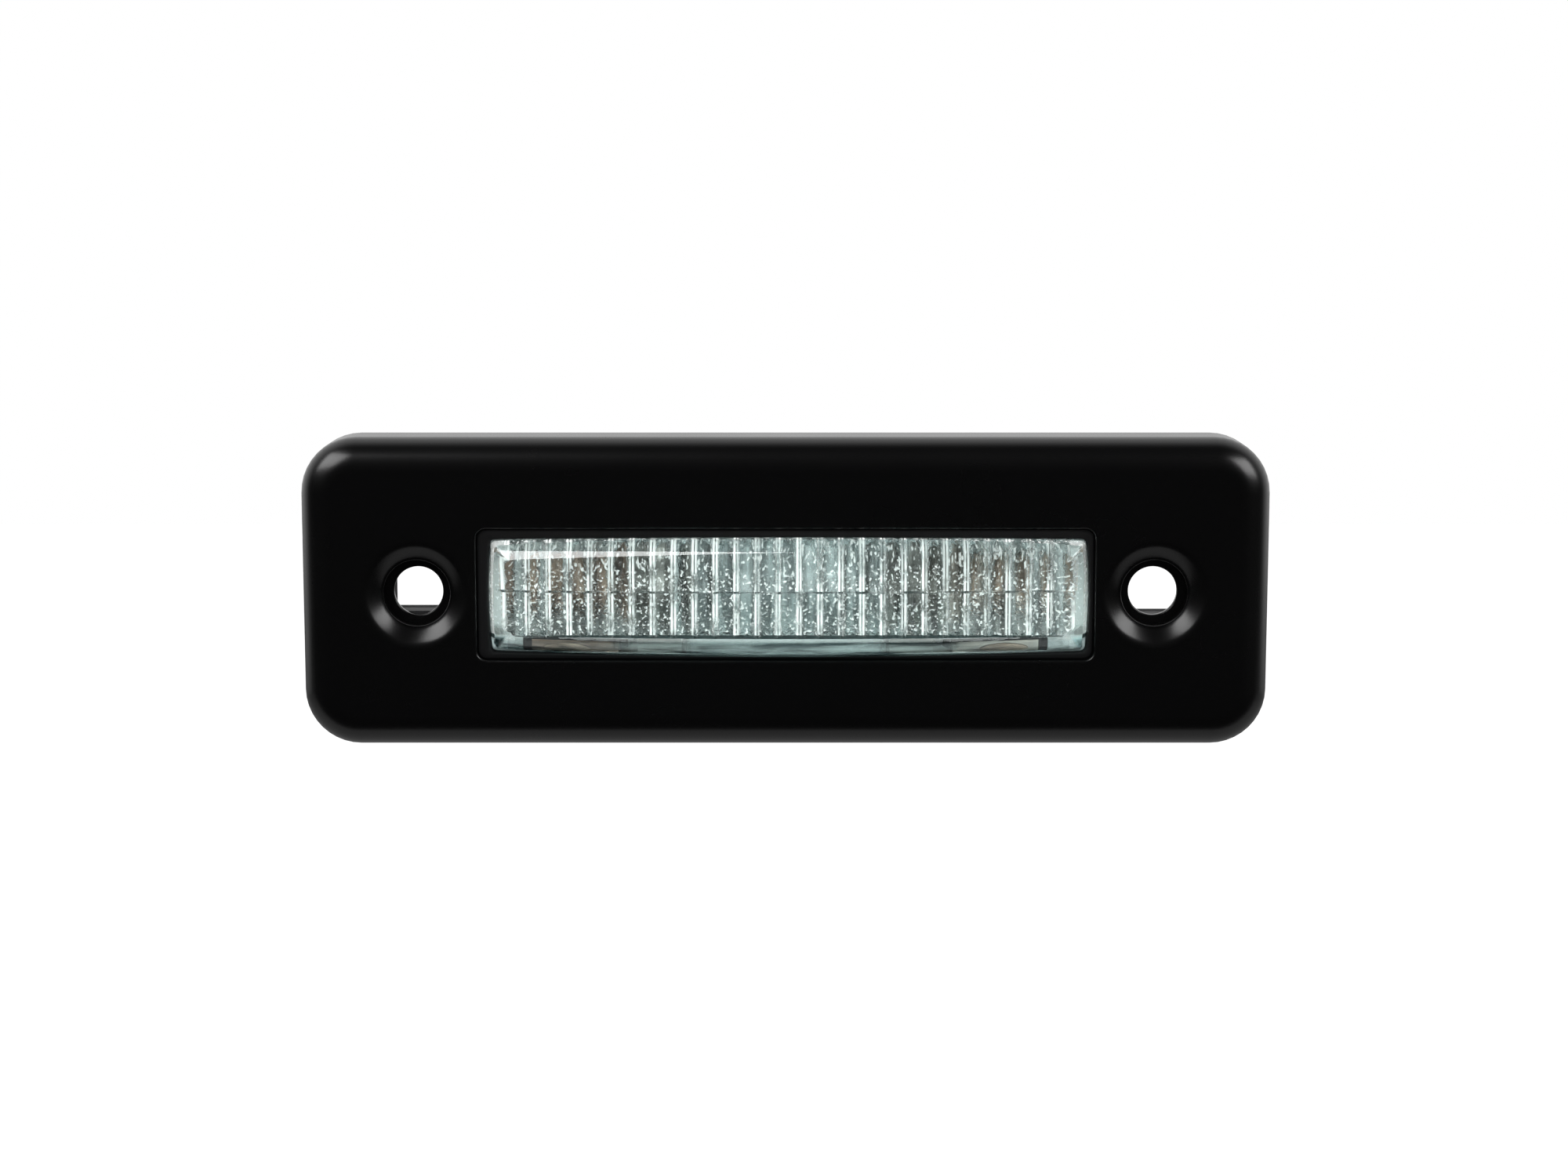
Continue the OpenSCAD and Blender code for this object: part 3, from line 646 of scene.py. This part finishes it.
def add_cover():
    """Pressed sheet: an edge bend carried round a rounded rectangle, a pierced window and two dimples, whose
    half sections are turned about the screws' axes, all joined by the flat face and its back."""
    base_half = COVER_HALF - COVER_EDGE
    base_corner = COVER_CORNER - COVER_EDGE
    back_out = FACE_OUT - SHEET
    bend_out = FACE_OUT - COVER_EDGE
    burr = 0.15
    lip = 0.28
    wall = path(
        (0, FACE_OUT),
        arc(0, bend_out, COVER_EDGE, 88, 0, 16),
        arc(COVER_EDGE - burr, RIM_OUT + burr, burr, 0, -90, 4),
        arc(COVER_EDGE - SHEET + burr, RIM_OUT + burr, burr, -90, -180, 4),
        arc(0, bend_out, COVER_EDGE - SHEET, 0, 88, 12),
        (0, back_out),
    )
    window = path(
        arc(lip, FACE_OUT - lip, lip, 90, 180, 6),
        arc(burr, back_out + burr, burr, 180, 270, 4),
    )
    floor_back = DIMPLE_FLOOR_OUT - SHEET
    # The bends draw in from the dimple's edge to its wall, which gives the edge's radius
    dimple_r = DIMPLE_WALL_R - slide(0, FACE_OUT, DIMPLE_BENDS, DIMPLE_FLOOR_OUT)[-1, 0]
    inner_bends = [(max(r - SHEET, burr), slope) for r, slope in DIMPLE_BENDS]
    behind = slide(dimple_r, back_out, inner_bends, floor_back)
    dimple = path(
        slide(dimple_r, FACE_OUT, DIMPLE_BENDS, DIMPLE_FLOOR_OUT),
        arc(HOLE_R + burr, DIMPLE_FLOOR_OUT - burr, burr, 90, 180, 4),
        arc(HOLE_R + burr, floor_back + burr, burr, 180, 270, 4),
        behind[::-1],
    )
    surfaces = [skin(grown(base_half, base_corner, wall)), skin(grown(WINDOW_HALF, WINDOW_CORNER, window))]
    for x in (-HOLE_X, HOLE_X):
        surfaces.append(skin([at(circle(x, r), out) for r, out in dimple]))
    edge = outline(base_half, base_corner)
    dimples = [circle(x, dimple_r) for x in (-HOLE_X, HOLE_X)]
    surfaces.append(flat(FACE_OUT, edge, outline(WINDOW_HALF + lip, WINDOW_CORNER + lip), *dimples))
    surfaces.append(flat(back_out, edge, outline(WINDOW_HALF + burr, WINDOW_CORNER + burr), *dimples))
    return add_piece("pressed_cover", surfaces, PAINT, "black_paint", "cover")


def crown(across):
    """Height of the lens's front over its length: an arc that falls by LENS_CROWN to the ends."""
    r = (LENS_HALF[0] ** 2 + LENS_CROWN**2) / (2 * LENS_CROWN)
    return LENS_TOP_OUT - r + np.sqrt(r**2 - across**2)


def bowed(ring):
    """Bends the sides of a straight outline: each draws in with the square of the distance from its middle."""
    across, up = ring[..., 0] / LENS_HALF[0], ring[..., 1] / LENS_HALF[1]
    out_middle, in_ends = (np.where(up > 0, *both) for both in zip(LENS_BOW_TOP, LENS_BOW_FOOT))
    return np.stack(
        [
            ring[..., 0] - across * LENS_BOW_ENDS * up**2,
            ring[..., 1] + up * (out_middle - in_ends * across**2),
        ],
        -1,
    )


def lens_ring(inset, corner):
    """The lens's outline, drawn in by inset and bowed."""
    return bowed(outline(LENS_HALF - inset, corner, 6, (60, 12)))


def flute_front(across, front):
    """Height of the lens's inner face: the crown less the front wall, less round flutes side by side."""
    place = (across / FLUTE_PITCH + FLUTES / 2) % 1 - 0.5
    reach = np.sqrt(np.maximum(FLUTE_R**2 - (place * FLUTE_PITCH) ** 2, 0)) - (FLUTE_R - FLUTE_DEPTH)
    in_field = np.abs(across) <= FLUTES * FLUTE_PITCH / 2
    return crown(across) - front - np.maximum(reach, 0) * in_field


def add_lens():
    """Clear moulding: the outline drawn in along a quarter circle up to the crowned front, over a flange, and
    hollow behind, where two rows of upright flutes stand out of an inner face that is a grid of heights."""
    corner_steps, runs = 6, (60, 12)
    turns = np.radians(np.linspace(0, 90, 15))
    body = [at(lens_ring(0, LENS_CORNER), GLAND_OUT)]
    for turn in turns:
        inset = LENS_EDGE * (1 - math.cos(turn))
        ring = lens_ring(inset, LENS_CORNER * (1 - turn / turns[-1]) ** 0.5)
        body.append(at(ring, crown(ring[:, 0]) - LENS_EDGE * (1 - math.sin(turn))))
    front_half = LENS_HALF - LENS_EDGE
    across, up = np.meshgrid(*[np.linspace(-half, half, run + 1) for half, run in zip(front_half, runs)])
    front = bowed(np.stack([across, up], -1))
    front = np.concatenate([front, crown(front[..., :1])], -1)

    round_edge = 0.2
    flange_face = outline(FLANGE_HALF - round_edge, FLANGE_CORNER - round_edge, corner_steps, runs)
    flange = [at(flange_face, GLAND_OUT)]
    flange += [
        at(outline(FLANGE_HALF + reach, FLANGE_CORNER + reach, corner_steps, runs), out)
        for reach, out in path(
            arc(-round_edge, GLAND_OUT - round_edge, round_edge, 90, 0, 4),
            arc(-round_edge, LENS_BACK_OUT + round_edge, round_edge, 0, -90, 4),
        )
    ]

    hollow_half = LENS_HALF[0] - LENS_END_WALL
    hollow_corner = 0.9
    flute_steps, row_steps = 16, 8
    columns = np.linspace(-hollow_half, hollow_half, FLUTES * flute_steps + 1)
    beyond = np.maximum(np.abs(columns) - (hollow_half - hollow_corner), 0)
    rounding = hollow_corner - np.sqrt(hollow_corner**2 - np.minimum(beyond, hollow_corner) ** 2)
    sag = (columns / LENS_HALF[0]) ** 2 / 2
    top = HOLLOW_TOP - rounding - LENS_BOW_TOP[1] * sag
    foot = HOLLOW_FOOT - rounding - LENS_BOW_FOOT[1] * sag
    share = np.linspace(0, 1, row_steps + 1)[:, None]
    upper = ROW_LINE + (top - ROW_LINE) * share[::-1]
    lower = ROW_LINE - (foot + ROW_LINE) * share
    heights = np.concatenate([upper, lower])
    outs = np.concatenate(
        [
            np.broadcast_to(flute_front(columns, LENS_FRONT + ROW_STEP), upper.shape),
            np.broadcast_to(flute_front(columns, LENS_FRONT), lower.shape),
        ]
    )
    grid = np.stack([np.broadcast_to(columns, heights.shape), heights, outs], -1)
    mouth_rows = [grid[0], grid[-1][::-1], grid[:, 0][::-1], grid[:, -1]]
    walls = [skin([row, at(row[:, :2], LENS_BACK_OUT)], False) for row in mouth_rows]
    mouth = np.concatenate([grid[0][::-1], grid[1:-1, 0], grid[-1], grid[1:-1, -1][::-1]])[:, :2]
    keep = np.any(np.abs(mouth - np.roll(mouth, 1, 0)) > 1e-6, 1)
    mouth = mouth[keep]

    surfaces = [
        skin(body),
        skin(front, False),
        skin([body[0], flange[0]]),
        skin(flange),
        flat(LENS_BACK_OUT, flange_face, mouth),
        skin(grid, False),
        *walls,
    ]
    moved = [(points + (*LENS_MIDDLE, 0), faces) for points, faces in surfaces]
    return add_piece("fluted_lens", moved, LENS, "clear_lens", "lens", crease=50)


def add_lens_seal():
    """Rubber ring: its section runs up the lens's side, over a round lip, down in the window and out under
    the cover's face to its edge, and back under itself."""
    back_out = FACE_OUT - SHEET
    lip, press, soft = 0.2, 0.05, 0.15

    def near(out):
        """Ring on the lens's side."""
        return at(bowed(outline(LENS_HALF + press, LENS_CORNER)) + LENS_MIDDLE, out)

    def window(reach, out):
        """Ring in the window, grown by reach."""
        return at(outline(WINDOW_HALF + reach - press, WINDOW_CORNER + reach), out)

    def blend(share, out):
        """Ring that lies by a share of the way from the lens to the window."""
        return near(out) * (1 - share) + window(0, out) * share

    def foot(reach, out):
        """Ring on the lens's flange, grown by reach."""
        return at(outline(FLANGE_HALF + reach, FLANGE_CORNER + reach), out)

    rows = [near(GLAND_OUT), near(LIP_OUT - lip), blend(0.08, LIP_OUT - 0.06), blend(0.25, LIP_OUT)]
    rows += [blend(0.75, LIP_OUT - 0.04), window(-0.06, LIP_OUT - 0.1), window(0, LIP_OUT - lip), window(0, back_out)]
    rows += [foot(-soft, back_out), foot(0, back_out - soft), foot(0, GLAND_OUT + soft), foot(-soft, GLAND_OUT)]
    return add_piece("rubber_lens_seal", [skin(rows, round_rows=True)], RUBBER, "black_rubber", "lens_seal")


def add_panel_seal():
    """Foam ring: flats with an opening for the pocket and two slots, and walls whose edges are slightly round."""
    soft, slot_corner = 0.25, 0.3

    def wall(half, r, x, side):
        """Wall round an outline whose edges give way by soft, outwards or inwards."""
        profile = path(arc(-soft, SEAL_OUT - soft, soft, 90, 0, 4), arc(-soft, soft, soft, 0, -90, 4))
        return [
            at(outline(np.asarray(half) + side * reach, r + side * reach) + (x, 0), out) for reach, out in profile
        ]

    walls = [wall(SEAL_HALF, SEAL_CORNER, 0, 1), wall(SEAL_HOLE_HALF, SEAL_HOLE_CORNER, 0, -1)]
    walls += [wall(half, slot_corner, side * HOLE_X, -1) for side, half in SLOT_HALVES.items()]
    surfaces = [skin(rows) for rows in walls]
    for end in (0, -1):
        rings = [rows[end] for rows in walls]
        surfaces.append(flat(rings[0][0, 2], *[ring[:, :2] for ring in rings]))
    return add_piece("foam_panel_seal", surfaces, FOAM, "foam", "panel_seal")


def add_filament():
    """Coil: a circle carried along a helix round the bulb's axis."""
    coil_r, wire_r, pitch, half = 0.24, 0.055, 0.19, 5.5
    turns, turn_steps = 2 * half / pitch, 14
    steps = int(turns * turn_steps)
    t = np.linspace(0, 1, steps + 1)
    angle = 2 * np.pi * turns * t
    along = np.stack([-half + 2 * half * t, coil_r * np.cos(angle), coil_r * np.sin(angle)], -1)
    ahead = np.gradient(along, axis=0)
    ahead /= np.linalg.norm(ahead, axis=1, keepdims=True)
    outward = np.stack([np.zeros_like(t), np.cos(angle), np.sin(angle)], -1)
    side = np.cross(ahead, outward)
    around = np.linspace(0, 2 * np.pi, 8, endpoint=False)[:, None]
    rows = along[:, None] + wire_r * (np.cos(around) * outward[:, None] + np.sin(around) * side[:, None])
    caps = [(row, [[0, 1, 2, 3], [0, 3, 4, 7], [4, 5, 6, 7]]) for row in (rows[0], rows[-1])]
    return add_piece("coiled_filament", [skin(rows), *caps], TUNGSTEN, "tungsten", "bulb_filament")


def raise_left_slot(housing):
    """Lifts the upper edge of the left screw slot clear of the round hole before it: the points that lie at the
    slot's upper edge, within a little more than its half width."""
    near = 0.05 * MM
    places = np.empty(3 * len(housing.data.vertices))
    housing.data.vertices.foreach_get("co", places)
    places = places.reshape(-1, 3)
    half, top = np.array(SLOT_HALVES[-1]) * MM
    edge = (np.abs(places[:, 0] + HOLE_X * MM) < half * 1.1) & (np.abs(places[:, 2] - top) < near)
    places[edge, 2] += LEFT_SLOT_LIFT * MM
    housing.data.vertices.foreach_set("co", places.reshape(-1))
    housing.data.update()


add_cover()
fluted_lens = add_lens()
add_lens_seal()
add_panel_seal()
add_filament()
raise_left_slot(add_rounded("moulded_housing", "housing", PLASTIC, 0.2))
add_rounded("folded_reflector", "reflector", REFLECTOR, 0.08)
for side in ("left", "right"):
    brass = TARNISHED if side == "left" else CONTACT
    add_rounded("spring_contact_" + side, "contact_" + side, brass, 0.06)
    add_rounded("tubular_rivet_" + side, "rivet_" + side, RIVET, 0.12)
    add_rounded("blade_terminal_" + side, "terminal_" + side, TINNED, 0.12)
for node, material in {
    "bulb_glass": GLASS,
    "bulb_cap_left": NICKEL,
    "bulb_cap_right": NICKEL,
    "bulb_solder_left": SOLDER,
    "bulb_solder_right": SOLDER,
    "bulb_lead_left": WIRE,
    "bulb_lead_right": WIRE,
}.items():
    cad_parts[node].material_slots[0].material = material


# Studio


def add_camera():
    """Level with the photograph's: 72 mm lens, 317.5 mm from the face, 8.4 degrees above it."""
    tilt = math.radians(8.4)
    focal_px, distance = 4000, 317.5
    px_per_mm = focal_px / distance
    middle = np.array([0, -FACE_OUT, 0])
    up = np.array([0, math.sin(tilt), math.cos(tilt)])
    ahead = np.array([0, math.cos(tilt), -math.sin(tilt)])
    left_px, up_px = 2, 9
    place = middle + np.array([-left_px / px_per_mm, 0, 0]) + up * up_px / px_per_mm - ahead * distance
    camera = bpy.data.cameras.new("camera")
    camera.lens, camera.sensor_width = 72, 36
    camera.clip_start = 0.005
    obj = bpy.data.objects.new("camera", camera)
    obj.location = place * MM
    obj.rotation_euler = (math.pi / 2 - tilt, 0, 0)
    bpy.context.scene.collection.objects.link(obj)
    bpy.context.scene.camera = obj


def add_softbox(name, azimuth, elevation, distance, width, height, radiance, mirrored=True):
    """Area lamp that faces the object; azimuth 0 is in front and grows to the right. It may light without being
    mirrored."""
    lamp = bpy.data.lights.new(name, "AREA")
    lamp.shape, lamp.size, lamp.size_y = "RECTANGLE", width, height
    lamp.energy = radiance * math.pi * width * height
    azimuth, elevation = math.radians(azimuth), math.radians(elevation)
    level = math.cos(elevation)
    way = Vector((math.sin(azimuth) * level, -math.cos(azimuth) * level, math.sin(elevation)))
    obj = bpy.data.objects.new(name, lamp)
    obj.location = way * distance
    obj.rotation_euler = way.to_track_quat("Z", "Y").to_euler()
    obj.visible_glossy = mirrored
    bpy.context.scene.collection.objects.link(obj)
    return obj


def set_world():
    """White behind the lamp, fading overhead and dim in front."""
    world = bpy.data.worlds.new("studio")
    bpy.context.scene.world = world
    world.use_nodes = True
    tree = world.node_tree
    axes = tree.nodes.new("ShaderNodeSeparateXYZ")
    tree.links.new(tree.nodes.new("ShaderNodeTexCoord").outputs["Generated"], axes.inputs[0])
    overhead, behind, dim, white = -0.05, 0.5, 0.02, 1.0
    light = range_node(tree, axes.outputs["Y"], overhead, behind, dim, white)
    seen = tree.nodes.new("ShaderNodeLightPath").outputs["Is Camera Ray"]
    strength = math_node(tree, "MAXIMUM", light, seen)
    tree.links.new(strength, tree.nodes["Background"].inputs["Strength"])
    tree.nodes["Background"].inputs["Color"].default_value = (1, 1, 1, 1)


def add_floor():
    """Pale floor well below the lamp, a little brighter to the camera so that it meets the white behind."""
    side, near, far, below, glow_strength = 1.8, -0.2, 2.8, 0.35, 0.9
    mesh = bpy.data.meshes.new("floor")
    corners = [(-side, near, -below), (side, near, -below), (side, far, -below), (-side, far, -below)]
    mesh.from_pydata(corners, [], [(0, 1, 2, 3)])
    material, shader = new_material("floor", (0.4, 0.4, 0.4), 0.9)
    tree = material.node_tree
    glow = tree.nodes.new("ShaderNodeEmission")
    seen = tree.nodes.new("ShaderNodeLightPath").outputs["Is Camera Ray"]
    tree.links.new(product(tree, seen, glow_strength), glow.inputs["Strength"])
    both = tree.nodes.new("ShaderNodeAddShader")
    tree.links.new(shader.outputs["BSDF"], both.inputs[0])
    tree.links.new(glow.outputs["Emission"], both.inputs[1])
    tree.links.new(both.outputs["Shader"], tree.nodes["Material Output"].inputs["Surface"])
    mesh.materials.append(material)
    obj = bpy.data.objects.new("floor", mesh)
    bpy.context.scene.collection.objects.link(obj)


add_camera()
add_softbox("softbox_left", azimuth=-58, elevation=41, distance=0.9, width=0.72, height=0.46, radiance=7.0)
add_softbox("softbox_right", azimuth=60, elevation=30, distance=1.0, width=0.64, height=0.46, radiance=7.0)
# A strip that only the lens mirrors
lens_strip = add_softbox(
    "lens_strip", azimuth=-36, elevation=50, distance=0.9, width=0.5, height=0.66, radiance=9.0
)
lens_only = bpy.data.collections.new("lens_only")
lens_only.objects.link(fluted_lens)
lens_strip.light_linking.receiver_collection = lens_only
# Light from the front that nothing mirrors
add_softbox(
    "front_fill", azimuth=0, elevation=8, distance=0.7, width=0.4, height=0.3, radiance=4.9, mirrored=False
)
set_world()
add_floor()
bpy.context.scene.view_settings.view_transform = "Standard"
